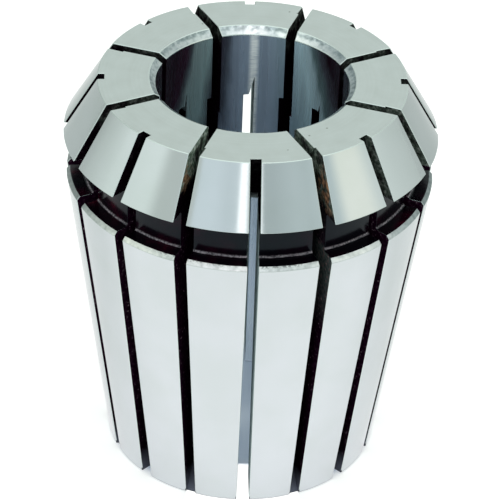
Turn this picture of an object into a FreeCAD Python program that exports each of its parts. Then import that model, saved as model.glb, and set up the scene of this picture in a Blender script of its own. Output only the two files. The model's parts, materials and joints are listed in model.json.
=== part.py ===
"""Spring collet of the 41 x 46 mm size for round shanks, slit from both ends, standing on its tail.

One piece of spring steel. The origin is on the axis in the plane of the tail, +Z points to the nose.
From the tail up: the long 8 degree body, the groove that the clamping nut pulls on, and the short
30 degree nose cone. The bore runs through. Sixteen slits divide the wall. Eight are open at the tail and
leave a web round the mouth of the bore, the other eight are open at the nose and leave a web at the
tail, so the wall folds like a concertina when it is closed on a shank.
Slits are counted round from -Y, the first is a tail slit, and nose and tail slits alternate.
"""
import FreeCAD, Part
import os
from math import cos, radians, sin, sqrt, tan

Vector = FreeCAD.Vector

# Driving dimensions of the turned blank, in millimetres and degrees
LENGTH = 46.0
NOSE_DIAMETER = 41.0
NOSE_CONE_LENGTH = 6.42
NOSE_HALF_ANGLE = 30.0
GROOVE_WIDTH = 4.6
GROOVE_DEPTH = 2.3
GROOVE_CORNER = 0.3
BODY_STEP = 0.29
BODY_HALF_ANGLE = 8.0
BODY_TOP_CHAMFER = 0.4
TAIL_CHAMFER = 0.2
NOSE_EDGE_BREAK = 0.12
BORE_DIAMETER = 21.0
BORE_CHAMFER_TAIL = 0.4

# The chamfer at the mouth of the bore is flatter than 45 degrees and stands off centre, towards +Y
MOUTH_CHAMFER = 0.75
MOUTH_CHAMFER_FALL = 35.0
MOUTH_OFF_CENTRE = 0.25

# Slits: how many from each end, and the disc saw that makes them
SLITS_PER_END = 8
SAW_DIAMETER = 80.0

# Tail slits are a little wider at the tail, because the collet is sprung open
TAIL_SLIT_WIDTH_AT_TAIL = 1.42
TAIL_SLIT_WIDTH_AT_NOSE = 1.12
TAIL_SLIT_WEB = 8.5
TAIL_SAW_BELOW_FACE = 26.0

# Above one flank of each tail slit the bore wall is torn to a point, a little past the saw's run-out
TEAR_LENGTH = 2.2
TEAR_WIDTH = 0.5
TEAR_DEPTH = 1.2

# A nose slit is one plunge of the saw at mid length, then opened through the face with a thinner saw
NOSE_SLIT_WIDTH_AT_TAIL = 1.1
NOSE_SLIT_WIDTH_AT_GROOVE = 1.42
NOSE_SLIT_WIDTH_AT_FACE = 1.18
NOSE_SLIT_WEB = 8.5
THIN_SAW_WIDTH = 1.05
THIN_SAW_SKEW = 2.9
THIN_SAW_OFFSET = -0.88
THIN_SAW_DEPTH = 10.5

# Sizes that follow from the ones above
NOSE_RADIUS = NOSE_DIAMETER / 2
FACE_RADIUS = NOSE_RADIUS - NOSE_CONE_LENGTH * tan(radians(NOSE_HALF_ANGLE))
CONE_BASE_Z = LENGTH - NOSE_CONE_LENGTH
BODY_TOP_Z = CONE_BASE_Z - GROOVE_WIDTH
BODY_TOP_RADIUS = NOSE_RADIUS - BODY_STEP
TAIL_RADIUS = BODY_TOP_RADIUS - BODY_TOP_Z * tan(radians(BODY_HALF_ANGLE))
GROOVE_RADIUS = NOSE_RADIUS - GROOVE_DEPTH
BORE_RADIUS = BORE_DIAMETER / 2
SAW_RADIUS = SAW_DIAMETER / 2
SLIT_PITCH = 360.0 / SLITS_PER_END
OUTSIDE = NOSE_RADIUS + 3.0
BEYOND = 2.0


def turned_blank():
    """The collet before it is slit, as one profile turned about Z."""
    taper = tan(radians(BODY_HALF_ANGLE))
    slope = tan(radians(NOSE_HALF_ANGLE))
    outline = [
        (BORE_RADIUS + BORE_CHAMFER_TAIL, 0),
        (TAIL_RADIUS - TAIL_CHAMFER, 0),
        (TAIL_RADIUS + TAIL_CHAMFER * taper, TAIL_CHAMFER),
        (BODY_TOP_RADIUS - BODY_TOP_CHAMFER * taper, BODY_TOP_Z - BODY_TOP_CHAMFER),
        (BODY_TOP_RADIUS - BODY_TOP_CHAMFER, BODY_TOP_Z),
        (GROOVE_RADIUS + GROOVE_CORNER, BODY_TOP_Z),
        (GROOVE_RADIUS, BODY_TOP_Z + GROOVE_CORNER),
        (GROOVE_RADIUS, CONE_BASE_Z - GROOVE_CORNER),
        (GROOVE_RADIUS + GROOVE_CORNER, CONE_BASE_Z),
        (NOSE_RADIUS - NOSE_EDGE_BREAK, CONE_BASE_Z),
        (NOSE_RADIUS - NOSE_EDGE_BREAK * slope, CONE_BASE_Z + NOSE_EDGE_BREAK),
        (FACE_RADIUS + NOSE_EDGE_BREAK * slope, LENGTH - NOSE_EDGE_BREAK),
        (FACE_RADIUS - NOSE_EDGE_BREAK, LENGTH),
        (BORE_RADIUS, LENGTH),
        (BORE_RADIUS, BORE_CHAMFER_TAIL),
    ]
    points = [Vector(radius, 0, height) for radius, height in outline]
    profile = Part.makePolygon(points + points[:1])
    return Part.Face(profile).revolve(Vector(0, 0, 0), Vector(0, 0, 1), 360)


def mouth_chamfer():
    """The cone that breaks the mouth of the bore, wider on one side because it stands off centre."""
    fall = tan(radians(MOUTH_CHAMFER_FALL))
    face_radius = BORE_RADIUS + MOUTH_CHAMFER
    inner, outer = BORE_RADIUS - MOUTH_CHAMFER, face_radius + MOUTH_CHAMFER
    return Part.makeCone(inner, outer, (outer - inner) * fall,
                         Vector(0, MOUTH_OFF_CENTRE, LENGTH - (face_radius - inner) * fall))


def saw_disc(centre_z, bore_z):
    """The disc saw in the XZ plane, set so far in that its rim leaves the bore wall at bore_z."""
    centre_x = BORE_RADIUS + sqrt(SAW_RADIUS ** 2 - (bore_z - centre_z) ** 2)
    disc = Part.makeCylinder(SAW_RADIUS, 2 * BEYOND, Vector(centre_x, BEYOND, centre_z), Vector(0, -1, 0))
    return disc, centre_x - SAW_RADIUS


def tapered_saw(stations):
    """A flat blade along X whose width follows the given (height, width) stations."""
    right = [Vector(0, width / 2, height) for height, width in stations]
    left = [Vector(0, -width / 2, height) for height, width in reversed(stations)]
    outline = Part.makePolygon(right + left + [right[0]])
    return Part.Face(outline).extrude(Vector(OUTSIDE, 0, 0))


def tail_slit():
    """Open at the tail: the saw goes in below the face and travels out past the tail."""
    centre_z = LENGTH - TAIL_SAW_BELOW_FACE
    disc, deepest = saw_disc(centre_z, LENGTH - TAIL_SLIT_WEB)
    travel = Part.makeBox(OUTSIDE - deepest, 2 * BEYOND, centre_z + BEYOND, Vector(deepest, -BEYOND, -BEYOND))
    grow = (TAIL_SLIT_WIDTH_AT_TAIL - TAIL_SLIT_WIDTH_AT_NOSE) / LENGTH
    blade = tapered_saw([(-BEYOND, TAIL_SLIT_WIDTH_AT_TAIL + grow * BEYOND),
                         (LENGTH + BEYOND, TAIL_SLIT_WIDTH_AT_NOSE - grow * BEYOND)])
    return disc.fuse(travel).common(blade)


def tear():
    """The pointed notch in the bore wall, in line with the lower flank of a tail slit made along +X."""
    run_out_z = LENGTH - TAIL_SLIT_WEB
    flank = -TAIL_SLIT_WIDTH_AT_NOSE / 2
    x = BORE_RADIUS - BEYOND
    tip = Vector(x, flank, run_out_z + TEAR_LENGTH)
    foot = Vector(x, flank + TEAR_WIDTH, run_out_z)
    inside_slit = [Vector(x, foot.y, run_out_z - BEYOND), Vector(x, flank, run_out_z - BEYOND)]
    outline = Part.makePolygon([tip, foot] + inside_slit + [tip])
    return Part.Face(outline).extrude(Vector(BEYOND + TEAR_DEPTH, 0, 0))


def nose_slit_wide():
    """One plunge of the saw at mid length, which leaves a web of the same length at each end."""
    disc, deepest = saw_disc(LENGTH / 2, LENGTH - NOSE_SLIT_WEB)
    blade = tapered_saw([(-BEYOND, NOSE_SLIT_WIDTH_AT_TAIL), (0.0, NOSE_SLIT_WIDTH_AT_TAIL),
                         (CONE_BASE_Z, NOSE_SLIT_WIDTH_AT_GROOVE), (LENGTH, NOSE_SLIT_WIDTH_AT_FACE),
                         (LENGTH + BEYOND, NOSE_SLIT_WIDTH_AT_FACE)])
    return disc.common(blade)


def nose_slit_thin():
    """The thin cut that opens a nose slit to the face. It passes beside the axis, a little askew."""
    blade = Part.makeBox(OUTSIDE, THIN_SAW_WIDTH, THIN_SAW_DEPTH + BEYOND,
                         Vector(0, THIN_SAW_OFFSET - THIN_SAW_WIDTH / 2, LENGTH - THIN_SAW_DEPTH))
    blade.rotate(Vector(0, THIN_SAW_OFFSET, 0), Vector(0, 0, 1), THIN_SAW_SKEW)
    return blade


def place(tool, angle):
    """A cutter made along +X, turned so that its slit lies at the given angle from -Y."""
    turned = tool.copy()
    turned.rotate(Vector(0, 0, 0), Vector(0, 0, 1), angle - 90.0)
    return turned


def collet():
    cutters = [mouth_chamfer()]
    tail = tail_slit().fuse(tear())
    wide, thin = nose_slit_wide(), nose_slit_thin()
    for index in range(SLITS_PER_END):
        at_tail_slit = index * SLIT_PITCH
        at_nose_slit = at_tail_slit + SLIT_PITCH / 2
        cutters += [place(tail, at_tail_slit), place(wide, at_nose_slit), place(thin, at_nose_slit)]
    solid = turned_blank().cut(cutters)
    return solid.removeSplitter()


os.makedirs("parts", exist_ok=True)
part = collet()
if len(part.Solids) != 1 or not part.isValid():
    raise RuntimeError("the slits left %d solids, valid %s" % (len(part.Solids), part.isValid()))
part.Solids[0].exportStep("parts/collet.step")
box = part.BoundBox
print("collet %.2f x %.2f x %.2f mm, %.0f mm3" % (box.XLength, box.YLength, box.ZLength, part.Volume))
print("faces", len(part.Faces), "tail radius %.3f, face radius %.3f" % (TAIL_RADIUS, FACE_RADIUS))
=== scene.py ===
# %% [markdown]
# A spring collet is a slit steel sleeve that a nut presses into a taper, so that it closes on a shank.
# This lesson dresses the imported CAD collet: the same form with its real rounds and broken edges, and the
# finish of every surface. The CAD model is loaded first as a fixed frame. Everything that follows sits in
# that frame, so no piece is ever fitted by eye.

# %% Load the frame
import json
from math import atan2, cos, pi, radians, sin, sqrt, tan

import bmesh
import bpy
from mathutils import Matrix, Vector


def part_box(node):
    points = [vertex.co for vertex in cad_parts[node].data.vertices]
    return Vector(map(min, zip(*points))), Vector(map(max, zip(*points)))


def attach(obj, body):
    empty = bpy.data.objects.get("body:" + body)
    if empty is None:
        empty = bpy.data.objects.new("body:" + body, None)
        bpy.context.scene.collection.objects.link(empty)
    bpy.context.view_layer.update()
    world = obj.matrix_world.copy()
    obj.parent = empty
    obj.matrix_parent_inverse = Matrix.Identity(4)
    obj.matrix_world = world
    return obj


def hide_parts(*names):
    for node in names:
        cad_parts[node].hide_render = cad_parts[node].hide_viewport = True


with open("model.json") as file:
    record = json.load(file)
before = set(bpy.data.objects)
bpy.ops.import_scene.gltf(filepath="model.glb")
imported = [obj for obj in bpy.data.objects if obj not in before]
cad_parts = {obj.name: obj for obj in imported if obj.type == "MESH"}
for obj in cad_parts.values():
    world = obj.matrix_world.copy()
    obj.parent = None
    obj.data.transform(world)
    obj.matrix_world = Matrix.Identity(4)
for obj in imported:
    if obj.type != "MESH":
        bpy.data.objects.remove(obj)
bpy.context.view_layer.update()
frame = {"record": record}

MM = 0.001
cad_low, cad_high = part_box("collet")
print("CAD box in mm", [round(x / MM, 2) for x in cad_low], [round(x / MM, 2) for x in cad_high])

# %% [markdown]
# The sizes come from the frame where it has them. The length is the height of the CAD box and the bore is
# the clamp mount. The rest are the sizes of the turned blank, in millimetres, because that is the unit on
# a maker's drawing. Modelling in millimetres and shrinking once at the end also keeps the merge distances
# easy to read.

# %% Sizes of the turned blank
bore_mount = next(mount for mount in frame["record"]["mounts"] if mount["name"] == "bore")
LENGTH = round(cad_high.z / MM, 3)
BORE_RADIUS = bore_mount["dims"]["r_mm"]
NOSE_RADIUS = 20.5
NOSE_CONE_LENGTH = 6.42
NOSE_HALF_ANGLE = 30.0
GROOVE_WIDTH = 4.6
GROOVE_DEPTH = 2.3
BODY_STEP = 0.29
BODY_HALF_ANGLE = 8.0
BORE_CHAMFER_TAIL = 0.4
MOUTH_CHAMFER = 0.75
MOUTH_FALL = 35.0
MOUTH_OFF_CENTRE = 0.25

FACE_RADIUS = NOSE_RADIUS - NOSE_CONE_LENGTH * tan(radians(NOSE_HALF_ANGLE))
CONE_BASE_Z = LENGTH - NOSE_CONE_LENGTH
BODY_TOP_Z = CONE_BASE_Z - GROOVE_WIDTH
BODY_TOP_RADIUS = NOSE_RADIUS - BODY_STEP
TAIL_RADIUS = BODY_TOP_RADIUS - BODY_TOP_Z * tan(radians(BODY_HALF_ANGLE))
GROOVE_RADIUS = NOSE_RADIUS - GROOVE_DEPTH
MOUTH_RADIUS = BORE_RADIUS + MOUTH_CHAMFER
MOUTH_SLOPE = tan(radians(MOUTH_FALL))
print(f"length {LENGTH}, bore radius {BORE_RADIUS}")
print(f"face radius {FACE_RADIUS:.2f}, tail radius {TAIL_RADIUS:.2f}")

# %% [markdown]
# A collet starts on the lathe, so its blank starts as half a section. Ten corners are enough. The lathe
# tool leaves a chamfer at the top of the body and hollow rounds in the groove, and a bevel of single
# corners draws those in the flat section. Doing that before the section is spun costs nothing and gives
# even rings, which a bevel of the finished solid would not.

# %% Half section of the blank
BODY_TOP_CHAMFER = 0.45
GROOVE_CORNER = 0.3
ROUND_STEPS = 5

section = bmesh.new()
corners = {
    "tail bore": (BORE_RADIUS + BORE_CHAMFER_TAIL, 0),
    "tail edge": (TAIL_RADIUS, 0),
    "body top": (BODY_TOP_RADIUS, BODY_TOP_Z),
    "groove foot": (GROOVE_RADIUS, BODY_TOP_Z),
    "groove head": (GROOVE_RADIUS, CONE_BASE_Z),
    "cone base": (NOSE_RADIUS, CONE_BASE_Z),
    "face rim": (FACE_RADIUS, LENGTH),
    "mouth edge": (MOUTH_RADIUS, LENGTH),
    "bore top": (BORE_RADIUS, LENGTH - MOUTH_CHAMFER * MOUTH_SLOPE),
    "bore foot": (BORE_RADIUS, BORE_CHAMFER_TAIL),
}
corner = {name: section.verts.new((radius, 0, height)) for name, (radius, height) in corners.items()}
section.faces.new(corner.values())
for name, size, steps in (("body top", BODY_TOP_CHAMFER, 1), ("groove foot", GROOVE_CORNER, ROUND_STEPS),
                          ("groove head", GROOVE_CORNER, ROUND_STEPS)):
    bmesh.ops.bevel(section, geom=[corner[name]], affect="VERTICES", offset=size, offset_type="OFFSET",
                    segments=steps, profile=0.5, material=-1)
print("corners of the section", len(section.verts))

# %% [markdown]
# One full spin would put its lengthwise lines anywhere, and where a saw cut passes close to such a line it
# leaves slivers that no bevel can follow. So the section is turned in short spins, slit by slit: a plain
# stretch of metal in fine steps, then one wide step on each side of the slit's middle. The saw then always
# bites into clear quads. Slits are counted from -Y, where the section is turned to first.

# %% Turn the blank
SLITS = 16
SLIT_PITCH = 360 / SLITS
CLEAR_OF_SLIT = 5.6
PLAIN_STEPS = 8
MERGE = 0.001


def spin_on(bm, ring, turn, steps):
    """Spins a ring of edges on by so many degrees and returns the ring at the end."""
    made = bmesh.ops.spin(bm, geom=ring, axis=(0, 0, 1), cent=(0, 0, 0), angle=radians(turn), steps=steps)
    return [item for item in made["geom_last"] if not isinstance(item, bmesh.types.BMFace)]


def open_edges(bm):
    """How many edges don't lie between exactly two faces."""
    return sum(not edge.is_manifold for edge in bm.edges)


bmesh.ops.delete(section, geom=section.faces[:], context="FACES_ONLY")
bmesh.ops.rotate(section, verts=section.verts, matrix=Matrix.Rotation(radians(-90), 3, "Z"))
middle_step = SLIT_PITCH - 2 * CLEAR_OF_SLIT
ring = section.verts[:] + section.edges[:]
for slit in range(SLITS):
    ring = spin_on(section, ring, CLEAR_OF_SLIT, 1)
    ring = spin_on(section, ring, middle_step, PLAIN_STEPS)
    ring = spin_on(section, ring, CLEAR_OF_SLIT, 1)
bmesh.ops.remove_doubles(section, verts=section.verts, dist=MERGE)
bmesh.ops.recalc_face_normals(section, faces=section.faces)
print("faces of the blank", len(section.faces), "open edges", open_edges(section))

# %% [markdown]
# The chamfer at the mouth of the bore is wider at the back than at the front, as it comes out when the
# countersink stands a little off centre. The spin has left two rings of points there, one on the face and
# one on the bore wall. Each point of the outer ring slides along its radius on to the shifted circle, and
# its partner on the wall sinks to where the cone with that wider brim would cut it.

# %% Shift the mouth chamfer
NEAR_FACE = 1.0
ON_RING = 0.01

for vert in section.verts:
    radius = sqrt(vert.co.x ** 2 + vert.co.y ** 2)
    if vert.co.z < LENGTH - NEAR_FACE or radius > MOUTH_RADIUS + ON_RING:
        continue
    ahead, aside = vert.co.y / radius, vert.co.x / radius
    brim = MOUTH_OFF_CENTRE * ahead + sqrt(MOUTH_RADIUS ** 2 - (MOUTH_OFF_CENTRE * aside) ** 2)
    if radius > BORE_RADIUS + ON_RING:
        vert.co.x, vert.co.y = brim * aside, brim * ahead
    else:
        vert.co.z = LENGTH - (brim - BORE_RADIUS) * MOUTH_SLOPE
print("mouth chamfer", MOUTH_CHAMFER - MOUTH_OFF_CENTRE, "to", MOUTH_CHAMFER + MOUTH_OFF_CENTRE, "mm wide")

# %% [markdown]
# The slits are sawn, and the Boolean modifier is the nearest thing to a saw. Each cutter is the part of a
# disc saw that meets the wall: a circle, cut off clear of the collet. The rim of the disc leaves the curved
# run-outs inside the slits. A nose slit is one plunge of the saw at mid length. For a tail slit the saw goes
# in a little lower and then travels out through the tail.

# %% Saw plates
SAW_RADIUS = 40.0
SAW_SIDES = 300
CLEAR_RADIUS = NOSE_RADIUS + 3
BEYOND = 2.0
TAIL_SAW_Z = LENGTH - 26.0
NOSE_SAW_Z = LENGTH / 2
SLIT_WEB = 8.5
RUN_OUT_Z = LENGTH - SLIT_WEB


def everything(bm):
    return bm.verts[:] + bm.edges[:] + bm.faces[:]


def points_of(geometry):
    """The points among what an operator made."""
    return [item for item in geometry if isinstance(item, bmesh.types.BMVert)]


def saw_plate(centre_z):
    """The part of the saw's disc that meets the collet on +X, flat in the XZ plane."""
    plate = bmesh.new()
    bmesh.ops.create_circle(plate, cap_ends=True, radius=SAW_RADIUS, segments=SAW_SIDES)
    bmesh.ops.rotate(plate, verts=plate.verts, matrix=Matrix.Rotation(radians(90), 3, "X"))
    reach = sqrt(SAW_RADIUS ** 2 - (RUN_OUT_Z - centre_z) ** 2)
    bmesh.ops.translate(plate, verts=plate.verts, vec=(BORE_RADIUS + reach, 0, centre_z))
    bmesh.ops.bisect_plane(plate, geom=everything(plate), plane_co=(CLEAR_RADIUS, 0, 0),
                           plane_no=(1, 0, 0), clear_outer=True)
    return plate


def travel_out_of_tail(plate, centre_z):
    """The saw leaves through the tail, so the plate below its middle becomes a straight strip."""
    bmesh.ops.bisect_plane(plate, geom=everything(plate), plane_co=(0, 0, centre_z), plane_no=(0, 0, 1),
                           clear_inner=True)
    foot = [edge for edge in plate.edges if all(abs(v.co.z - centre_z) < MERGE for v in edge.verts)]
    made = bmesh.ops.extrude_edge_only(plate, edges=foot)["geom"]
    bmesh.ops.translate(plate, verts=points_of(made), vec=(0, 0, -centre_z - BEYOND))


tail_saw = saw_plate(TAIL_SAW_Z)
travel_out_of_tail(tail_saw, TAIL_SAW_Z)
nose_saw = saw_plate(NOSE_SAW_Z)
print("points of the tail plate", len(tail_saw.verts), "of the nose plate", len(nose_saw.verts))

# %% [markdown]
# A slit is not equally wide all along, since the finished collet is sprung open. The plate is therefore
# extruded to a width that follows its height, between heights at which it is bisected first. The widths are
# given past both ends of the plate, because a plate with one stray point is bent, and a bent plate cuts
# badly.

# %% Width of the slits
PLATE_FOOT, PLATE_TOP = -10.0, 56.0
TAIL_SLIT_WIDTHS = ((PLATE_FOOT, 1.485), (PLATE_TOP, 1.055))
NOSE_SLIT_WIDTHS = ((PLATE_FOOT, 1.1), (0.0, 1.1), (CONE_BASE_Z, 1.42), (LENGTH, 1.18), (PLATE_TOP, 1.18))


def give_width(plate, stations):
    """Extrudes the flat plate to a slit's width, which is given at a few heights."""
    for height, _ in stations[1:-1]:
        bmesh.ops.bisect_plane(plate, geom=everything(plate), plane_co=(0, 0, height), plane_no=(0, 0, 1))
    bmesh.ops.translate(plate, verts=plate.verts, vec=(0, -0.5, 0))
    far = bmesh.ops.extrude_face_region(plate, geom=plate.faces[:])["geom"]
    bmesh.ops.translate(plate, verts=points_of(far), vec=(0, 1, 0))
    for vert in plate.verts:
        for (low, narrow), (high, wide) in zip(stations, stations[1:]):
            if low - MERGE <= vert.co.z <= high + MERGE:
                width = narrow + (wide - narrow) * (vert.co.z - low) / (high - low)
                vert.co.y = (0.5 if vert.co.y > 0 else -0.5) * width
                break
    bmesh.ops.recalc_face_normals(plate, faces=plate.faces)


give_width(tail_saw, TAIL_SLIT_WIDTHS)
give_width(nose_saw, NOSE_SLIT_WIDTHS)
print("tail saw faces", len(tail_saw.faces), "nose saw faces", len(nose_saw.faces))

# %% [markdown]
# A nose slit is opened through the face with a second, thinner saw that passes beside the axis and a
# little askew, so on the face the slit kinks where the wide cut begins. Its cutter is a plain box.

# %% Thin saw
THIN_SAW_WIDTH = 1.05
THIN_SAW_SKEW = 2.9
THIN_SAW_OFFSET = -0.88
THIN_SAW_DEPTH = 10.5
THIN_SAW_START = 5.0

thin_saw = bmesh.new()
bmesh.ops.create_cube(thin_saw, size=1)
bmesh.ops.scale(thin_saw, verts=thin_saw.verts,
                vec=(CLEAR_RADIUS - THIN_SAW_START, THIN_SAW_WIDTH, THIN_SAW_DEPTH + BEYOND))
bmesh.ops.translate(thin_saw, verts=thin_saw.verts,
                    vec=((CLEAR_RADIUS + THIN_SAW_START) / 2, 0, LENGTH + (BEYOND - THIN_SAW_DEPTH) / 2))
bmesh.ops.rotate(thin_saw, verts=thin_saw.verts, matrix=Matrix.Rotation(radians(THIN_SAW_SKEW), 3, "Z"))
bmesh.ops.translate(thin_saw, verts=thin_saw.verts, vec=(0, THIN_SAW_OFFSET, 0))
print("thin saw", len(thin_saw.faces), "faces")

# %% [markdown]
# The tail slits end in a pointed notch on the bore wall above one flank, where the saw's side has torn
# further than its rim. No two are alike: the one at the back is long and wide, and its neighbours are
# hairlines. So each has its own length and width, listed round from the front. A notch is a flat outline,
# extruded into the wall. It overlaps the slit, so that nothing thin is left standing between them.

# %% Notches
NOTCH_LENGTHS = (1.6, 1.2, 2.0, 0.8, 2.3, 1.5, 1.1, 1.9)
NOTCH_WIDTHS = (0.35, 0.3, 0.4, 0.2, 0.55, 0.22, 0.3, 0.35)
NOTCH_DEPTH = 0.6
NOTCH_FLANK = -0.56
NOTCH_OVERCUT = 0.05
NOTCH_FEET = (0.7, 0.5)
BEFORE_WALL = 1.0

notches = bmesh.new()
for index, (length, width) in enumerate(zip(NOTCH_LENGTHS, NOTCH_WIDTHS)):
    outer, inner, tip = NOTCH_FLANK - NOTCH_OVERCUT, NOTCH_FLANK + width, RUN_OUT_Z + length
    outline = ((outer, RUN_OUT_Z - NOTCH_FEET[0]), (inner, RUN_OUT_Z - NOTCH_FEET[1]), (inner, RUN_OUT_Z),
               (NOTCH_FLANK, tip), (outer, tip))
    points = [notches.verts.new((BORE_RADIUS - BEFORE_WALL, side, height)) for side, height in outline]
    far = bmesh.ops.extrude_face_region(notches, geom=[notches.faces.new(points)])["geom"]
    bmesh.ops.translate(notches, verts=points_of(far), vec=(BEFORE_WALL + NOTCH_DEPTH, 0, 0))
    to_slit = Matrix.Rotation(radians(2 * SLIT_PITCH * index - 90), 3, "Z")
    bmesh.ops.rotate(notches, verts=notches.verts[-2 * len(outline):], matrix=to_slit)
bmesh.ops.recalc_face_normals(notches, faces=notches.faces)
print("notches", len(notches.faces), "faces")

# %% [markdown]
# One cutter is turned round the axis eight times with spin, which copies instead of sweeping when it is
# told to duplicate. The cutters' faces carry the index of a finish, so what they leave in the collet is
# already marked as sawn or torn.

# %% Cutters
FINISHES = ("ground_taper", "turned_face", "rough_chamfer", "honed_bore", "dark_groove", "rubbed_brim",
            "sawn_slit", "torn_notch", "broken_edge")
SAWN = FINISHES.index("sawn_slit")
TORN = FINISHES.index("torn_notch")
BROKEN = FINISHES.index("broken_edge")


def to_object(bm, name):
    """Puts a bmesh into a new object at the origin and frees it."""
    mesh = bpy.data.meshes.new(name)
    bm.to_mesh(mesh)
    bm.free()
    made = bpy.data.objects.new(name, mesh)
    bpy.context.scene.collection.objects.link(made)
    return made


def cutter(bm, name, finish):
    """A cutting object whose faces carry the index of the finish that they leave."""
    for face in bm.faces:
        face.material_index = finish
    return to_object(bm, name)


def ring_of_saws(bm, first_angle, name):
    """Eight copies of a saw made along +X, the first at an angle from -Y."""
    bmesh.ops.rotate(bm, verts=bm.verts, matrix=Matrix.Rotation(radians(first_angle - 90), 3, "Z"))
    copies = SLITS // 2 - 1
    bmesh.ops.spin(bm, geom=everything(bm), axis=(0, 0, 1), cent=(0, 0, 0), steps=copies,
                   angle=radians(copies * 2 * SLIT_PITCH), use_duplicate=True)
    return cutter(bm, name, SAWN)


cutters = [
    ring_of_saws(tail_saw, 0, "tail_saws"),
    ring_of_saws(nose_saw, SLIT_PITCH, "nose_saws"),
    ring_of_saws(thin_saw, SLIT_PITCH, "thin_saws"),
    cutter(notches, "notches", TORN),
]
print("faces of the cutters", [len(cutting.data.polygons) for cutting in cutters])

# %% [markdown]
# The cutters are taken off the blank one after the other, with the exact solver, because slits and notches
# meet in planes. Its index mode keeps the finish that each face carries. The result is read from the
# modifiers as a new mesh, and the blank and the cutters are thrown away.

# %% Saw the blank
blank = to_object(section, "collet_blank")
for cutting in cutters:
    saw = blank.modifiers.new(cutting.name, "BOOLEAN")
    saw.object = cutting
    saw.operation = "DIFFERENCE"
    saw.solver = "EXACT"
    saw.material_mode = "INDEX"
sawn = bpy.data.meshes.new_from_object(blank.evaluated_get(bpy.context.evaluated_depsgraph_get()))
for used in [blank, *cutters]:
    bpy.data.objects.remove(used)
print("sawn mesh faces", len(sawn.polygons))

# %% [markdown]
# Every real edge is broken a little, and that is what catches the light in a photograph. So each sharp
# edge where a saw cut or a turned face ends gets a small bevel of two segments. The inner edges of the
# slits, where one saw cut meets another, and the torn notches stay sharp. The Boolean leaves a few points
# almost on top of each other, and the bevel spreads them, so the mesh is cleaned before it and after it.

# %% Break the edges
EDGE_BREAK = 0.09
SHARP = radians(28)
TOUCHING = 0.002

steel = bmesh.new()
steel.from_mesh(sawn)
bmesh.ops.remove_doubles(steel, verts=steel.verts, dist=TOUCHING)
bmesh.ops.dissolve_degenerate(steel, edges=steel.edges, dist=TOUCHING)


def to_be_broken(edge):
    """True for an outward edge of the turned form, but not for one between two saw cuts or at a notch."""
    if not edge.is_manifold or not edge.is_convex:
        return False
    marks = [face.material_index for face in edge.link_faces]
    return TORN not in marks and marks != [SAWN, SAWN] and edge.calc_face_angle(0) > SHARP


edges = [edge for edge in steel.edges if to_be_broken(edge)]
print("edges to break", len(edges), "shortest", round(min(edge.calc_length() for edge in edges), 3))
bmesh.ops.bevel(steel, geom=edges, affect="EDGES", offset=EDGE_BREAK, offset_type="OFFSET", segments=2,
                profile=0.5, material=BROKEN, clamp_overlap=False)
bmesh.ops.remove_doubles(steel, verts=steel.verts, dist=TOUCHING)
bmesh.ops.dissolve_degenerate(steel, edges=steel.edges, dist=TOUCHING)
print("faces", len(steel.faces), "open edges", open_edges(steel))

# %% [markdown]
# The finishes differ because the tools did. The two tapers were ground, the faces were turned, the mouth
# was broken by hand, the bore was honed, and the groove never saw a wheel after hardening, so it is still
# black. A face of the mesh is sorted by where it lies. The saw's faces and the broken edges are already
# marked, but an edge inside the dark groove or the bore takes the finish that surrounds it, because a
# bright line there would be wrong.

# %% Sort the faces by finish
BRIM_RADIUS = BODY_TOP_RADIUS - BODY_TOP_CHAMFER
BRIM_Z = BODY_TOP_Z - BODY_TOP_CHAMFER
NEAR = 0.02
BESIDE_BREAK = 0.1
BORE_EDGE = 0.2
MOUTH_DEPTH = 1.5


def finish_of(face):
    """The name of the finish that a face gets from where it lies."""
    centre = face.calc_center_median()
    radius = sqrt(centre.x ** 2 + centre.y ** 2)
    if BODY_TOP_Z - NEAR < centre.z < CONE_BASE_Z + NEAR and radius < BRIM_RADIUS:
        return "dark_groove"
    faces_up = face.normal.z > 0.3
    if BRIM_Z - NEAR < centre.z < BODY_TOP_Z + NEAR and radius > BRIM_RADIUS - 0.05 and faces_up:
        return "rubbed_brim"
    if face.material_index == BROKEN:
        in_bore = radius < BORE_RADIUS + BORE_EDGE and centre.z < LENGTH - MOUTH_DEPTH
        return "honed_bore" if in_bore else "broken_edge"
    if radius < BORE_RADIUS + NEAR:
        return "honed_bore"
    off_countersink = sqrt(centre.x ** 2 + (centre.y - MOUTH_OFF_CENTRE) ** 2)
    brim_above = off_countersink + (LENGTH - centre.z) / MOUTH_SLOPE
    slopes = face.normal.z < 0.95 and centre.z > LENGTH - NEAR_FACE
    if slopes and abs(brim_above - MOUTH_RADIUS) < BESIDE_BREAK:
        return "rough_chamfer"
    at_an_end = centre.z > LENGTH - BESIDE_BREAK or centre.z < BESIDE_BREAK
    return "turned_face" if at_an_end and abs(face.normal.z) > 0.9 else "ground_taper"


for face in steel.faces:
    face.smooth = True
    if face.material_index not in (SAWN, TORN):
        face.material_index = FINISHES.index(finish_of(face))
for index, name in enumerate(FINISHES):
    print(name, sum(face.material_index == index for face in steel.faces))

# %% [markdown]
# A turned face is exactly round, but the mesh has flat facets of uneven width. Smooth shading averages
# neighbouring facets, which bends highlights where a wide facet meets a narrow one. The lathe's own normal
# is known, though: a facet's normal, turned round the axis to where the corner is. The normals of each
# corner are therefore worked out that way, averaged by area only across gentle edges, and stored. Each sum
# starts with a trace of the facet's own normal, so that it never comes out as nothing.

# %% Shade every corner
SMOOTH = radians(50)
TRACE = 0.0001


def turned_normal(face, vert):
    """The face's normal, turned round the axis from its middle to one of its corners."""
    if face.material_index in (SAWN, TORN):
        return face.normal
    middle = face.calc_center_median()
    turn = atan2(vert.co.y, vert.co.x) - atan2(middle.y, middle.x)
    return Matrix.Rotation(turn, 3, "Z") @ face.normal


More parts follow.
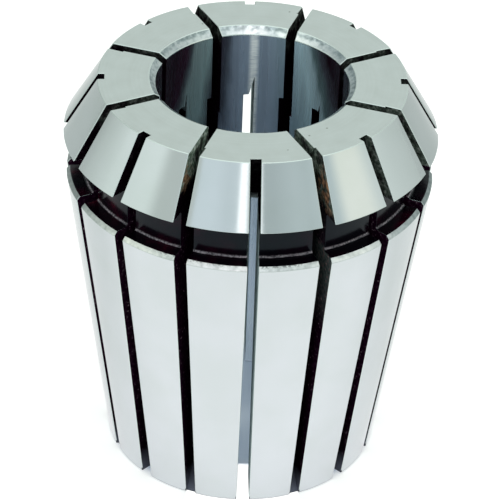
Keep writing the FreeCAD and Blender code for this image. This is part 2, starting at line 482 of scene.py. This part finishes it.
normals = []
for face in steel.faces:
    for vert in face.verts:
        own = turned_normal(face, vert)
        total = own * TRACE
        for other in vert.link_faces:
            normal = turned_normal(other, vert)
            if normal.angle(own, pi) < SMOOTH:
                total += normal * other.calc_area()
        normals.append(total.normalized())
bmesh.ops.scale(steel, verts=steel.verts, vec=(MM, MM, MM))
collet = to_object(steel, "spring_collet")
collet.data.normals_split_custom_set(normals)
print("corners with a stored normal", len(normals))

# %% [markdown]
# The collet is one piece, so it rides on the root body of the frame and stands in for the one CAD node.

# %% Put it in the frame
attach(collet, "root")
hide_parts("collet")
print("faces in the frame", len(collet.data.polygons))

# %% [markdown]
# Every finish is a Principled shader with an even colour and roughness, and a pattern only where the real
# surface has one. Node trees are long to write out, so a few helpers come first: one adds a node and fills
# its inputs, one starts a finish, and the others mix colours and numbers.

# %% Helpers for nodes
def add(tree, kind, feeds, **settings):
    """Adds a node, sets its options and fills its inputs with values or with other nodes' outputs."""
    made = tree.nodes.new("ShaderNode" + kind)
    for option, choice in settings.items():
        setattr(made, option, choice)
    for socket, value in feeds.items():
        if isinstance(value, bpy.types.NodeSocket):
            tree.links.new(value, made.inputs[socket])
        else:
            made.inputs[socket].default_value = value
    return made


def new_finish(name, colour, metallic, roughness):
    """A material whose Principled shader has even values, with its tree and that shader."""
    finish = bpy.data.materials.new(name)
    finish.use_nodes = True
    shader = finish.node_tree.nodes["Principled BSDF"]
    shader.inputs["Base Color"].default_value = (*colour, 1)
    shader.inputs["Metallic"].default_value = metallic
    shader.inputs["Roughness"].default_value = roughness
    print("finish", name)
    return finish.node_tree, shader


def calculate(tree, operation, *values):
    return add(tree, "Math", dict(enumerate(values)), operation=operation).outputs[0]


def product(tree, first, *others):
    """Two or more patterns multiplied, so that only what lies in all of them is left."""
    for other in others:
        first = calculate(tree, "MULTIPLY", first, other)
    return first


def blend(tree, factor, under, over):
    return add(tree, "Mix", {0: factor, 6: under, 7: over}, data_type="RGBA").outputs[2]


def dyed(tree, colour, dye):
    """One colour multiplied by another."""
    return add(tree, "Mix", {0: 1.0, 6: colour, 7: dye}, data_type="RGBA", blend_type="MULTIPLY").outputs[2]


def ramp(tree, factor, *stops):
    """Turns a pattern from 0 to 1 into greys or colours, given as (position, shade) from low to high."""
    made = add(tree, "ValToRGB", {"Fac": factor})
    elements = made.color_ramp.elements
    while len(elements) < len(stops):
        elements.new(0.5)
    for element, (position, shade) in zip(elements, stops):
        element.position = position
        element.color = (*shade, 1) if isinstance(shade, tuple) else (shade, shade, shade, 1)
    return made.outputs["Color"]


def ramp_over(tree, length, full, *stops):
    """A ramp over a length from 0 to full, whose stops are given in millimetres."""
    share = calculate(tree, "DIVIDE", length, full)
    return ramp(tree, share, *[(place / full, shade) for place, shade in stops])


# %% [markdown]
# The patterns are drawn in millimetres on the object, so that a scale of 2 means two specks to the
# millimetre, and a stain stays where it is when the piece is moved. Squeezing a pattern along one axis draws
# it out along the others: that gives rings round the axis on ground faces and streaks along the bore.

# %% Helpers for patterns
def millimetres(tree, stretch=(1, 1, 1)):
    """Where a point lies on the object, in millimetres times a stretch."""
    place = add(tree, "TexCoord", {})
    scale = [factor / MM for factor in stretch]
    return add(tree, "VectorMath", {0: place.outputs["Object"], 1: scale}, operation="MULTIPLY").outputs[0]


def split(tree, where):
    """The three coordinates of a point, called X, Y and Z."""
    return add(tree, "SeparateXYZ", {0: where}).outputs


def noise(tree, where, scale, detail=2.0):
    return add(tree, "TexNoise", {"Vector": where, "Scale": scale, "Detail": detail}).outputs["Fac"]


def specks(tree, where, scale, size, share):
    """Small round specks: 1 inside a speck, with only a share of the pattern's cells carrying one."""
    cells = add(tree, "TexVoronoi", {"Vector": where, "Scale": scale})
    near = calculate(tree, "LESS_THAN", cells.outputs["Distance"], size)
    chosen = calculate(tree, "LESS_THAN", cells.outputs["Color"], share)
    return product(tree, near, chosen)


def relief(tree, shader, height, strength, depth_mm):
    """Lets a pattern stand out as a fine relief of so many millimetres."""
    bump = add(tree, "Bump", {"Height": height, "Strength": strength, "Distance": depth_mm * MM})
    tree.links.new(bump.outputs["Normal"], shader.inputs["Normal"])


# %% [markdown]
# The two tapers are the working surfaces: cylindrical-ground steel, fine but not polished. Bare hardened
# steel is a light grey, a little blue. The grinding wheel leaves rings that are too fine to see singly, so
# they only change the roughness a little. A few small pits are scattered over it, and a very low relief
# keeps the highlights from being drawn with a ruler.

# %% Ground tapers
tree, shader = new_finish("ground_taper", (0.60, 0.648, 0.66), 1.0, 0.17)
where = millimetres(tree)
cloud = noise(tree, where, 0.16, 3.0)
tint = ramp(tree, cloud, (0.35, (0.585, 0.636, 0.642)), (0.65, (0.615, 0.660, 0.678)))
pits = specks(tree, where, 0.5, 0.07, 0.08)
tree.links.new(blend(tree, pits, tint, (0.16, 0.15, 0.15, 1)), shader.inputs["Base Color"])
wheel_marks = noise(tree, millimetres(tree, (0.12, 0.12, 6)), 1.0, 3.0)
tree.links.new(ramp(tree, wheel_marks, (0.3, 0.08), (0.7, 0.13)), shader.inputs["Roughness"])
relief(tree, shader, noise(tree, where, 1.1, 4.0), 0.05, 0.02)

# %% [markdown]
# The end face was turned with a fine feed and then handled. It is duller than the tapers, so that it
# mirrors the room as one soft tone. Lathe marks run round it, which a noise of the radius alone gives, and
# handling adds blotches.

# %% Turned faces
def from_axis(tree):
    """How far a point lies from the axis, in millimetres."""
    return add(tree, "VectorMath", {0: millimetres(tree, (1, 1, 0))}, operation="LENGTH").outputs["Value"]


tree, shader = new_finish("turned_face", (0.585, 0.64, 0.635), 1.0, 0.36)
where = millimetres(tree)
lathe_marks = noise(tree, add(tree, "CombineXYZ", {"X": from_axis(tree)}).outputs[0], 2.2, 3.0)
blotches = noise(tree, where, 0.5, 4.0)
both = calculate(tree, "ADD", product(tree, lathe_marks, 0.4), product(tree, blotches, 0.6))
tint = ramp(tree, both, (0.35, (0.560, 0.612, 0.605)), (0.65, (0.610, 0.665, 0.665)))
marks = specks(tree, where, 0.7, 0.08, 0.2)
tree.links.new(blend(tree, marks, tint, (0.30, 0.33, 0.31, 1)), shader.inputs["Base Color"])
tree.links.new(ramp(tree, both, (0.3, 0.31), (0.7, 0.42)), shader.inputs["Roughness"])
relief(tree, shader, both, 0.06, 0.02)

# %% [markdown]
# The mouth was broken with a coarse tool. Its chamfer is mottled: a dull pitted outer half and a brighter
# inner half that shanks have rubbed. The halves are told apart by the distance from the countersink's own
# centre, which stands a little behind the axis. On top of that, a painted reflection makes the chamfer
# brightest at the back and in front, and painted shade makes it duller towards both sides of the mouth.

# %% Mouth chamfer
HALF_FROM = BORE_RADIUS - 0.35


def sideways(tree, radius):
    """How far a point lies to the side, from 0 at -X through 0.5 in the middle to 1 at +X of that radius."""
    return calculate(tree, "MULTIPLY_ADD", split(tree, millimetres(tree))["X"], 0.5 / radius, 0.5)


def distance(tree, where, point):
    return add(tree, "VectorMath", {0: where, 1: point}, operation="DISTANCE").outputs["Value"]


tree, shader = new_finish("rough_chamfer", (0.6, 0.66, 0.65), 1.0, 0.3)
from_centre = distance(tree, millimetres(tree, (1, 1, 0)), (0, MOUTH_OFF_CENTRE, 0))
rubbed = ramp(tree, calculate(tree, "SUBTRACT", from_centre, HALF_FROM), (0.50, 1.0), (0.75, 0.0))
pitted = noise(tree, millimetres(tree), 1.6, 4.0)
dull = ramp(tree, pitted, (0.34, (0.36, 0.41, 0.42)), (0.50, (0.58, 0.64, 0.66)), (0.64, (0.90, 0.94, 0.95)))
bright = ramp(tree, pitted, (0.34, (0.66, 0.71, 0.73)), (0.56, (0.95, 0.97, 0.98)))
# This ramp paints reflection and shade into the colour: lighter at the back and in front, darker at the
# sides.
painted_reflection = ramp(tree, sideways(tree, BORE_RADIUS), (0.06, (0.56, 0.60, 0.61)), (0.22, (0.54, 0.58, 0.58)),
             (0.40, (0.72, 0.74, 0.77)), (0.46, (0.98, 0.94, 0.98)), (0.55, (0.98, 0.94, 0.98)),
             (0.61, (0.74, 0.77, 0.80)), (0.70, (0.92, 0.94, 0.92)), (0.84, (0.66, 0.69, 0.70)),
             (0.95, (0.52, 0.57, 0.59)))
tree.links.new(dyed(tree, blend(tree, rubbed, dull, bright), painted_reflection), shader.inputs["Base Color"])
tree.links.new(ramp(tree, pitted, (0.3, 0.5), (0.7, 0.22)), shader.inputs["Roughness"])
relief(tree, shader, pitted, 0.25, 0.05)

# %% [markdown]
# The bore was honed and has held many shanks. The back of its wall is blue-grey in the middle and darker,
# nearly black with a maroon cast, towards the sides, and the lighter bands in it are painted reflections. A
# dull stripe stands beside the left slit. The pattern follows how far a point lies to the side and narrows
# further down. Its borders wander, because a noise is added before the colours are looked up. Lower down and
# in front the wall is plain steel.

# %% Honed bore
SIDE_PATTERN_Z = 41.0
SIDE_PATTERN_NARROWS = 0.03

tree, shader = new_finish("honed_bore", (0.45, 0.54, 0.66), 0.35, 0.28)
place = split(tree, millimetres(tree))
wander = noise(tree, millimetres(tree, (1, 1, 0.35)), 0.45, 4.0)
off_middle = calculate(tree, "SUBTRACT", sideways(tree, BORE_RADIUS), 0.5)
narrowing = calculate(tree, "MULTIPLY_ADD", place["Z"], SIDE_PATTERN_NARROWS, 1 - SIDE_PATTERN_NARROWS * SIDE_PATTERN_Z)
middle = calculate(tree, "MULTIPLY_ADD", wander, 0.1, 0.45)
side = calculate(tree, "MULTIPLY_ADD", off_middle, narrowing, middle)
# Darker towards the sides with a maroon cast; the light blue-grey bands in this ramp are painted reflections.
dark_sides_and_painted_reflection = ramp(tree, side, (0.05, (0.012, 0.001, 0.007)), (0.125, (0.03, 0.008, 0.022)),
             (0.155, (0.07, 0.08, 0.10)), (0.185, (0.25, 0.33, 0.35)), (0.26, (0.29, 0.41, 0.43)),
             (0.33, (0.03, 0.024, 0.045)), (0.37, (0.06, 0.07, 0.10)), (0.415, (0.25, 0.31, 0.41)),
             (0.50, (0.35, 0.44, 0.57)), (0.61, (0.30, 0.38, 0.49)), (0.71, (0.32, 0.44, 0.52)),
             (0.80, (0.58, 0.80, 0.90)), (0.84, (0.46, 0.62, 0.70)), (0.87, (0.14, 0.21, 0.23)),
             (0.91, (0.06, 0.06, 0.08)), (0.95, (0.012, 0.001, 0.007)))
along = noise(tree, millimetres(tree, (1, 1, 0.02)), 1.3, 4.0)
streaks = ramp(tree, along, (0.36, 0.84), (0.66, 1.0))
from_front = calculate(tree, "ADD", place["Y"], BORE_RADIUS)
at_front = ramp_over(tree, from_front, 2 * BORE_RADIUS, (8.8, 1.0), (11.6, 0.0))
deep = ramp_over(tree, place["Z"], LENGTH, (23.9, 1.0), (29.4, 0.0))
plain_wall = calculate(tree, "MAXIMUM", deep, at_front)
wall = blend(tree, plain_wall, dyed(tree, dark_sides_and_painted_reflection, streaks), (0.74, 0.84, 0.90, 1))

# %% [markdown]
# A pure metal would only mirror the dark wall opposite, so the upper wall is hazy: a low metallic value lets
# it scatter the light that falls in. One band down the back is scratched crosswise by chips, and a painted
# highlight is laid on it: a near-white, matt colour that is not metallic at all, standing in for the strip
# light's reflection, so it stands out bright.

# %% Scratched band and painted highlight in the bore
SCRATCHED_HIGHLIGHT_X = 0.42
HAZY_METAL = 0.35

across = noise(tree, millimetres(tree, (0.4, 0.4, 5)), 1.2, 3.0)
from_band = calculate(tree, "ABSOLUTE", calculate(tree, "SUBTRACT", place["X"], SCRATCHED_HIGHLIGHT_X))
in_band = ramp(tree, from_band, (0.20, 1.0), (0.65, 0.0))
scratches = ramp(tree, across, (0.36, 0.5), (0.56, 1.0))
scratched_painted_highlight = product(tree, in_band, calculate(tree, "SUBTRACT", 1.0, plain_wall), scratches)
# The near-white colour blended in here is a painted highlight on the scratched band.
tree.links.new(blend(tree, scratched_painted_highlight, wall, (0.95, 0.99, 1.0, 1)), shader.inputs["Base Color"])
metal = calculate(tree, "MULTIPLY_ADD", deep, 1 - HAZY_METAL, HAZY_METAL)
metal = product(tree, metal, calculate(tree, "SUBTRACT", 1.0, scratched_painted_highlight))
tree.links.new(metal, shader.inputs["Metallic"])
rough = ramp(tree, along, (0.35, 0.30), (0.65, 0.24))
tree.links.new(blend(tree, scratched_painted_highlight, rough, (0.5, 0.5, 0.5, 1)), shader.inputs["Roughness"])
relief(tree, shader, across, 0.05, 0.02)

# %% [markdown]
# The groove still carries the oxide of the hardening furnace: black, with a maroon cast and a few redder
# patches. It is a hard glossy skin, so it mirrors the white room in its upper half and the dark ledge in
# its lower half. At the foot of the groove the nut's ring has scraped the oxide thin, which leaves a broken
# pale line. The scrape is a mask of height and noise that lets bare steel through.

# %% Oxide in the groove
tree, shader = new_finish("dark_groove", (0.005, 0.0004, 0.003), 0.0, 0.16)
shader.inputs["Specular IOR Level"].default_value = 0.2
shader.inputs["Specular Tint"].default_value = (0.62, 0.88, 1.0, 1)
where = millimetres(tree)
oxide = ramp(tree, noise(tree, where, 0.3, 4.0), (0.42, (0.002, 0.001, 0.003)),
             (0.54, (0.004, 0.0003, 0.003)), (0.64, (0.012, 0.0006, 0.005)), (0.76, (0.06, 0.002, 0.010)))
above_ledge = calculate(tree, "SUBTRACT", split(tree, where)["Z"], BODY_TOP_Z)
wavy = calculate(tree, "MULTIPLY_ADD", noise(tree, where, 0.9, 3.0), 0.12, above_ledge)
at_foot = ramp(tree, wavy, (0.10, 0.0), (0.17, 1.0), (0.25, 1.0), (0.42, 0.0))
scraped = ramp(tree, noise(tree, where, 5.0, 5.0), (0.38, 0.15), (0.62, 0.9))
bare = product(tree, at_foot, scraped)
tree.links.new(blend(tree, bare, oxide, (0.32, 0.28, 0.31, 1)), shader.inputs["Base Color"])
tree.links.new(product(tree, bare, 0.4), shader.inputs["Metallic"])
relief(tree, shader, noise(tree, where, 2.0, 3.0), 0.12, 0.05)

# %% [markdown]
# The brim between the groove and the body is what the nut's ring rubs on. It is matt, with a painted
# reflection that makes it bright in front and painted shade that makes it greyer at the sides. Dark grains of
# oxide are left along its upper edge, most of them in front. The grains are a fine noise that gets its say
# near the top of the brim only.

# %% Rubbed brim of the body
tree, shader = new_finish("rubbed_brim", (0.85, 0.86, 0.88), 1.0, 0.4)
where = millimetres(tree)
side = sideways(tree, BODY_TOP_RADIUS)
grain = noise(tree, where, 1.7, 5.0)
polish = ramp(tree, grain, (0.34, (0.66, 0.68, 0.68)), (0.48, (0.80, 0.82, 0.82)), (0.64, (0.93, 0.94, 0.94)))
# This ramp paints reflection and shade into the colour: bright in front, greyer towards the sides.
painted_reflection = ramp(tree, side, (0.03, (0.38, 0.42, 0.42)), (0.11, (0.72, 0.75, 0.73)), (0.18, (0.90, 0.91, 0.86)),
             (0.30, (0.86, 0.88, 0.87)), (0.36, (0.98, 0.95, 0.96)), (0.49, (0.98, 0.95, 0.96)),
             (0.52, (0.88, 0.89, 0.90)), (0.80, (0.88, 0.90, 0.91)), (0.90, (0.52, 0.57, 0.59)),
             (0.97, (0.32, 0.37, 0.38)))
under_edge = calculate(tree, "SUBTRACT", BODY_TOP_Z, split(tree, where)["Z"])
upper = ramp(tree, under_edge, (0.05, 1.0), (0.28, 0.0))
left_over = ramp(tree, side, (0.22, 0.2), (0.28, 1.0), (0.40, 0.7), (0.485, 0.35), (0.50, 1.0), (0.60, 1.0),
                 (0.68, 0.15))
grains = product(tree, upper, left_over, ramp(tree, noise(tree, where, 3.4, 4.0), (0.46, 0.0), (0.58, 1.0)))
tree.links.new(blend(tree, grains, dyed(tree, polish, painted_reflection), (0.20, 0.21, 0.22, 1)),
               shader.inputs["Base Color"])
tree.links.new(ramp(tree, grain, (0.3, 0.5), (0.7, 0.32)), shader.inputs["Roughness"])
relief(tree, shader, grain, 0.15, 0.05)

# %% [markdown]
# The slits were cut before hardening and nothing has touched their walls since. Deep down they are black
# with a maroon cast, towards the skin they are sooty with a few paler flecks, and at the tail they are
# rubbed grey. The slit to the right of the front one is dusty below the groove. Scale is no metal, so the
# metallic value is 0, and it is too dull to mirror anything.

# %% Sawn slits
DUSTY_SLIT = ((13, 0.0), (16, 1.0), (32, 1.0), (36, 0.0))


def compass(tree, where):
    """The direction round the axis as a share of a turn: 0.5 at -Y, growing towards +X."""
    parts = split(tree, where)
    angle = calculate(tree, "ARCTAN2", parts["X"], product(tree, parts["Y"], -1))
    return calculate(tree, "MULTIPLY_ADD", angle, 0.5 / pi, 0.5)


def round_the_axis(tree, where, stops):
    """A ramp round the axis, whose stops are given in degrees from -Y, growing towards +X."""
    return ramp(tree, compass(tree, where), *[((angle + 180) / 360, shade) for angle, shade in stops])


tree, shader = new_finish("sawn_slit", (0.03, 0.03, 0.03), 0.0, 0.6)
shader.inputs["Specular IOR Level"].default_value = 0.0
where = millimetres(tree)
place = split(tree, where)
radius = from_axis(tree)
flakes = noise(tree, where, 2.6, 5.0)
black = ramp(tree, flakes, (0.52, (0.0035, 0.0006, 0.0030)), (0.70, (0.014, 0.007, 0.013)))
sooty = ramp(tree, flakes, (0.44, (0.010, 0.001, 0.009)), (0.56, (0.022, 0.004, 0.018)),
             (0.64, (0.035, 0.018, 0.030)), (0.72, (0.25, 0.18, 0.22)))
skin = ramp_over(tree, radius, NOSE_RADIUS, (14.8, 0.0), (17.2, 1.0))
below_nose = ramp_over(tree, place["Z"], LENGTH, (35.9, 1.0), (38.6, 0.0))
wall = blend(tree, product(tree, skin, below_nose), black, sooty)
dust = ramp(tree, flakes, (0.40, (0.055, 0.072, 0.070)), (0.54, (0.11, 0.140, 0.135)),
            (0.64, (0.15, 0.10, 0.10)), (0.72, (0.34, 0.26, 0.26)))
under_groove = ramp_over(tree, place["Z"], LENGTH, (24.8, 0.0), (32.2, 0.8), (35.0, 0.8), (35.65, 0.1))
dusty = product(tree, round_the_axis(tree, where, DUSTY_SLIT), under_groove, skin)
wall = blend(tree, dusty, wall, dust)
at_tail = ramp_over(tree, place["Z"], LENGTH, (0.46, 0.9), (3.2, 0.0))
wall = blend(tree, at_tail, wall, (0.16, 0.17, 0.22, 1))
relief(tree, shader, flakes, 0.5, 0.06)

# %% [markdown]
# Under the nose the scale has flaked to an olive grey, and the same lighter colour is painted light where
# light falls into the top of the slits. How much of it depends on the slit, so the list gives a share by the
# compass, with its steps between the slits: most in the two beside the front one. It keeps to the top of the
# nose on the left and reaches further down on the right, and behind the axis it is thinner.

# %% Crust and painted light under the nose
CRUST_AND_PAINTED_LIGHT = ((-77, 0.3), (-74, 0.16), (-58, 0.16), (-54, 0.02), (-36, 0.02), (-32, 1.0), (-14, 1.0), (-11, 0.03),
         (11, 0.03), (14, 0.6), (36, 0.55), (40, 0.27), (58, 0.3))
CRUST_AND_PAINTED_LIGHT_LEAN = 5.5
CRUST_AND_PAINTED_LIGHT_BEHIND = -2.3

# This colour is partly flaked scale and partly painted light at the top of the slits.
flaked_and_painted_light = ramp(tree, flakes, (0.36, (0.11, 0.16, 0.12)), (0.52, (0.28, 0.36, 0.30)),
              (0.66, (0.70, 0.76, 0.70)))
patchy = ramp(tree, noise(tree, where, 0.8, 4.0), (0.40, 0.15), (0.56, 1.0))
outer = ramp_over(tree, radius, NOSE_RADIUS, (10.45, 0.0), (11.3, 1.0))
behind = calculate(tree, "GREATER_THAN", place["Y"], 0.0)
leaning = calculate(tree, "MULTIPLY_ADD", sideways(tree, NOSE_RADIUS), CRUST_AND_PAINTED_LIGHT_LEAN, place["Z"])
leaning = calculate(tree, "MULTIPLY_ADD", behind, CRUST_AND_PAINTED_LIGHT_BEHIND, leaning)
high = ramp_over(tree, leaning, LENGTH, (43.7, 0.0), (44.85, 1.0))
thinner = calculate(tree, "MULTIPLY_ADD", behind, -0.5, 1.0)
crust_and_painted_light_mask = product(tree, outer, high, round_the_axis(tree, where, CRUST_AND_PAINTED_LIGHT), patchy, thinner)
wall = blend(tree, crust_and_painted_light_mask, wall, flaked_and_painted_light)

# %% [markdown]
# In the two slits beside the front one orange rust has grown on the wall. It lies where the photograph shows
# it: a noise within a few millimetres of two spots. The front slit and the back one have painted light on
# their flanks below the nose: a pale colour where light falls on them.

# %% Rust and painted light on the flanks
RUST_SPOTS = (((-7.1, -15.7, 43.3), 2.0), ((7.45, -16.6, 42.5), 3.0))
PAINTED_LIGHT_WITHIN = 1.0

brown = ramp(tree, flakes, (0.36, (0.12, 0.07, 0.05)), (0.50, (0.28, 0.17, 0.11)), (0.66, (0.62, 0.33, 0.18)))
grown = ramp(tree, noise(tree, where, 1.1, 4.0), (0.42, 0.0), (0.54, 1.0))
for spot, size in RUST_SPOTS:
    close = ramp_over(tree, distance(tree, where, spot), size, (0.4 * size, 1.0), (size, 0.0))
    wall = blend(tree, product(tree, close, grown), wall, brown)
in_line = calculate(tree, "LESS_THAN", calculate(tree, "ABSOLUTE", place["X"]), PAINTED_LIGHT_WITHIN)
painted_light_on_flanks = product(tree, in_line, ramp_over(tree, place["Z"], LENGTH, (37.3, 1.0), (38.6, 0.0)))
# The pale colour blended in here is painted light on the slit flanks.
tree.links.new(blend(tree, painted_light_on_flanks, wall, (0.66, 0.74, 0.75, 1)), shader.inputs["Base Color"])

# %% [markdown]
# A torn notch is a fresh break in the bore wall, dark but not black, with no scale on it.

# %% Torn notches
tree, shader = new_finish("torn_notch", (0.16, 0.21, 0.23), 0.3, 0.5)
torn = ramp(tree, noise(tree, millimetres(tree), 3.0, 4.0), (0.35, (0.09, 0.12, 0.13)),
            (0.65, (0.24, 0.30, 0.33)))
tree.links.new(torn, shader.inputs["Base Color"])

# %% [markdown]
# The broken edges are bare steel, touched by a stone. They are only a tenth of a millimetre wide, so one
# colour is enough, except at the tail: that edge is painted dark, a painted shadow where the collet stands on
# the floor.
# Last, the materials go on the collet in the order of the list of finishes, which is the order of the
# indices that the faces already carry.

# %% Broken edges
tree, shader = new_finish("broken_edge", (0.62, 0.69, 0.68), 1.0, 0.26)
above_tail = split(tree, millimetres(tree))["Z"]
# Near the tail the colour falls to nearly black: a painted contact shadow.
tree.links.new(ramp(tree, above_tail, (0.3, (0.05, 0.055, 0.06)), (0.5, (0.62, 0.69, 0.68))),
               shader.inputs["Base Color"])
for name in FINISHES:
    collet.data.materials.append(bpy.data.materials[name])
print("finishes on the collet", len(collet.data.materials))

# %% [markdown]
# The photograph was taken with a long lens from about a third of a metre, looking down at 34 degrees. These
# numbers were found by fitting the outlines of the face, the groove and the tail in the picture. The camera
# leans by two degrees, and it is slid a little in its own plane, because the collet isn't quite in the
# middle of the picture.

# %% Camera
CAMERA_LENS = 222.87
CAMERA_DISTANCE = 0.34737
CAMERA_ELEVATION = 34.428
CAMERA_AZIMUTH = -2.298
CAMERA_ROLL = 2.172
CAMERA_AIM = Vector((0, 0, LENGTH / 2 * MM))
CAMERA_SLIDE = (0.000387, 0.000449)

camera = bpy.data.objects.new("camera", bpy.data.cameras.new("camera"))
bpy.context.scene.collection.objects.link(camera)
camera.data.lens = CAMERA_LENS
camera.data.sensor_width = 36
camera.data.clip_start = 0.01
azimuth, elevation, roll = radians(CAMERA_AZIMUTH), radians(CAMERA_ELEVATION), radians(CAMERA_ROLL)
back = Vector((sin(azimuth) * cos(elevation), -cos(azimuth) * cos(elevation), sin(elevation)))
right = Vector((cos(azimuth), sin(azimuth), 0))
up = back.cross(right)
rotation = Matrix((right, up, back)).transposed() @ Matrix.Rotation(roll, 3, "Z")
stand = CAMERA_AIM + back * CAMERA_DISTANCE + right * CAMERA_SLIDE[0] + up * CAMERA_SLIDE[1]
camera.matrix_world = Matrix.Translation(stand) @ rotation.to_4x4()
bpy.context.scene.camera = camera
print("camera at", [round(x, 4) for x in stand])

# %% [markdown]
# The collet stands on white paper: one large square, so that its edge is never seen. Paper is a plain
# diffuse surface of a light grey, which keeps the collet's shadow.

# %% Paper floor
FLOOR_SIZE = 6.0
PAPER = (0.68, 0.68, 0.68)

sheet = bmesh.new()
bmesh.ops.create_grid(sheet, x_segments=1, y_segments=1, size=FLOOR_SIZE / 2)
floor = to_object(sheet, "floor")
paper = bpy.data.materials.new("paper")
paper.use_nodes = True
tree = paper.node_tree
tree.nodes.clear()
diffuse = add(tree, "BsdfDiffuse", {"Color": (*PAPER, 1)})
print("floor", FLOOR_SIZE, "m wide")

# %% [markdown]
# Lit paper alone would come out light grey, so the paper also glows, but only for the rays that look at it:
# it sends no extra light on to the steel. The camera sees it white away from the collet, and blue-grey
# inside the bore, where the shade stays. At the foot of the front slit it is white again. The steel mirrors
# the paper brightest close by and darker behind. All this is drawn by the distance from the axis.

# %% Glow of the paper
GLOW_REACH = 200
SLIT_FOOT = (0, -TAIL_RADIUS, 0)
SLIT_FOOT_REACH = 20
FRONT_TO_BACK = 50

where = millimetres(tree)
off_axis = add(tree, "VectorMath", {0: where}, operation="LENGTH").outputs["Value"]
ray = add(tree, "LightPath", {})
mirrored = ray.outputs["Is Glossy Ray"]
looked_at = calculate(tree, "MAXIMUM", ray.outputs["Is Camera Ray"], ray.outputs["Is Transmission Ray"])
from_slit = distance(tree, where, SLIT_FOOT)
at_slit = ramp_over(tree, from_slit, SLIT_FOOT_REACH, (6.3, 1.0), (6.7, 0.12), (8, 0.0))
around = ramp_over(tree, off_axis, GLOW_REACH, (14, 0.215), (15.2, 0.55))
for_camera = calculate(tree, "MAXIMUM", at_slit, around)
near = ramp_over(tree, off_axis, GLOW_REACH, (10, 0.42), (16, 0.73), (32, 0.64), (50, 0.55), (120, 0.15),
                 (200, 0.0))
from_front = calculate(tree, "ADD", split(tree, where)["Y"], FRONT_TO_BACK / 2)
for_mirrors = product(tree, near, ramp_over(tree, from_front, FRONT_TO_BACK, (5, 1.0), (30, 0.62)))
glow = calculate(tree, "ADD", product(tree, looked_at, for_camera), product(tree, mirrored, for_mirrors))

inside = ramp_over(tree, off_axis, GLOW_REACH, (14, 1.0), (15.2, 0.0))
bore_blue = product(tree, inside, calculate(tree, "SUBTRACT", 1.0, at_slit))
outside_tint = blend(tree, mirrored, (1, 1, 1, 1), (0.98, 0.91, 0.95, 1))
inside_tint = blend(tree, mirrored, (0.50, 0.70, 0.97, 1), (0.75, 0.84, 1.0, 1))
tint = blend(tree, bore_blue, outside_tint, inside_tint)
emission = add(tree, "Emission", {"Color": tint, "Strength": glow})
both = add(tree, "AddShader", {0: diffuse.outputs[0], 1: emission.outputs[0]})
add(tree, "OutputMaterial", {"Surface": both.outputs[0]})
floor.data.materials.append(paper)
print("nodes in the paper", len(tree.nodes))

# %% [markdown]
# Bare steel shows its surroundings more than its own colour, so the room matters. Its walls are light, but
# unevenly: white boards left and right, grey gaps between them, and one narrow strip light in line with
# the camera, which draws the bright line on the nose. The room is a ring of greys by compass direction,
# with a brighter ceiling. Angles are counted from the front, -Y, and grow towards the right, +X. The camera
# itself sees a plain white backdrop.

# %% Room
GREEN_WHITE, BLUE_WHITE, WARM_WHITE = (0.93, 1.0, 0.95), (0.88, 0.97, 1.0), (0.98, 1.0, 0.90)
COOL_WHITE, LAMP_WHITE = (0.86, 0.97, 0.96), (1.0, 1.0, 1.0)
ROOM = ((-180, 0.85, GREEN_WHITE), (-148, 0.62, GREEN_WHITE), (-120, 0.62, GREEN_WHITE),
        (-104, 0.82, GREEN_WHITE), (-90, 1.02, GREEN_WHITE), (-64, 1.08, GREEN_WHITE),
        (-57, 0.75, GREEN_WHITE), (-41, 0.74, GREEN_WHITE), (-38, 0.98, BLUE_WHITE),
        (-24, 0.99, BLUE_WHITE), (-15, 0.90, BLUE_WHITE), (-7.4, 0.94, BLUE_WHITE),
        (-5, 1.80, LAMP_WHITE), (1.2, 1.80, LAMP_WHITE), (2.5, 0.64, COOL_WHITE),
        (14, 0.67, COOL_WHITE), (28, 0.77, COOL_WHITE), (38, 0.75, COOL_WHITE),
        (50, 0.82, COOL_WHITE), (60, 1.13, WARM_WHITE), (72, 1.12, WARM_WHITE),
        (84, 0.93, GREEN_WHITE), (98, 0.86, GREEN_WHITE), (112, 0.78, GREEN_WHITE),
        (180, 0.85, GREEN_WHITE))
BRIGHTEST = 2.0
CEILING = 1.25


def lit(level, tint):
    """A colour of the room: a tint at a level, as a share of the brightest."""
    return tuple(part * level / BRIGHTEST for part in tint)


world = bpy.data.worlds.new("studio")
bpy.context.scene.world = world
world.use_nodes = True
tree = world.node_tree
direction = add(tree, "TexCoord", {}).outputs["Generated"]
walls = round_the_axis(tree, direction, [(angle, lit(level, tint)) for angle, level, tint in ROOM])
overhead = ramp(tree, split(tree, direction)["Z"], (0.72, 0.0), (0.85, 1.0))
room = blend(tree, overhead, walls, (*lit(CEILING, GREEN_WHITE), 1))
seen = add(tree, "LightPath", {}).outputs["Is Camera Ray"]
tree.links.new(blend(tree, seen, room, (1, 1, 1, 1)), tree.nodes["Background"].inputs["Color"])
strength = add(tree, "Mix", {0: seen, 2: BRIGHTEST, 3: 1.0}, data_type="FLOAT").outputs[0]
tree.links.new(strength, tree.nodes["Background"].inputs["Strength"])
print("stops round the room", len(ROOM))

bpy.context.scene.view_settings.view_transform = "Standard"
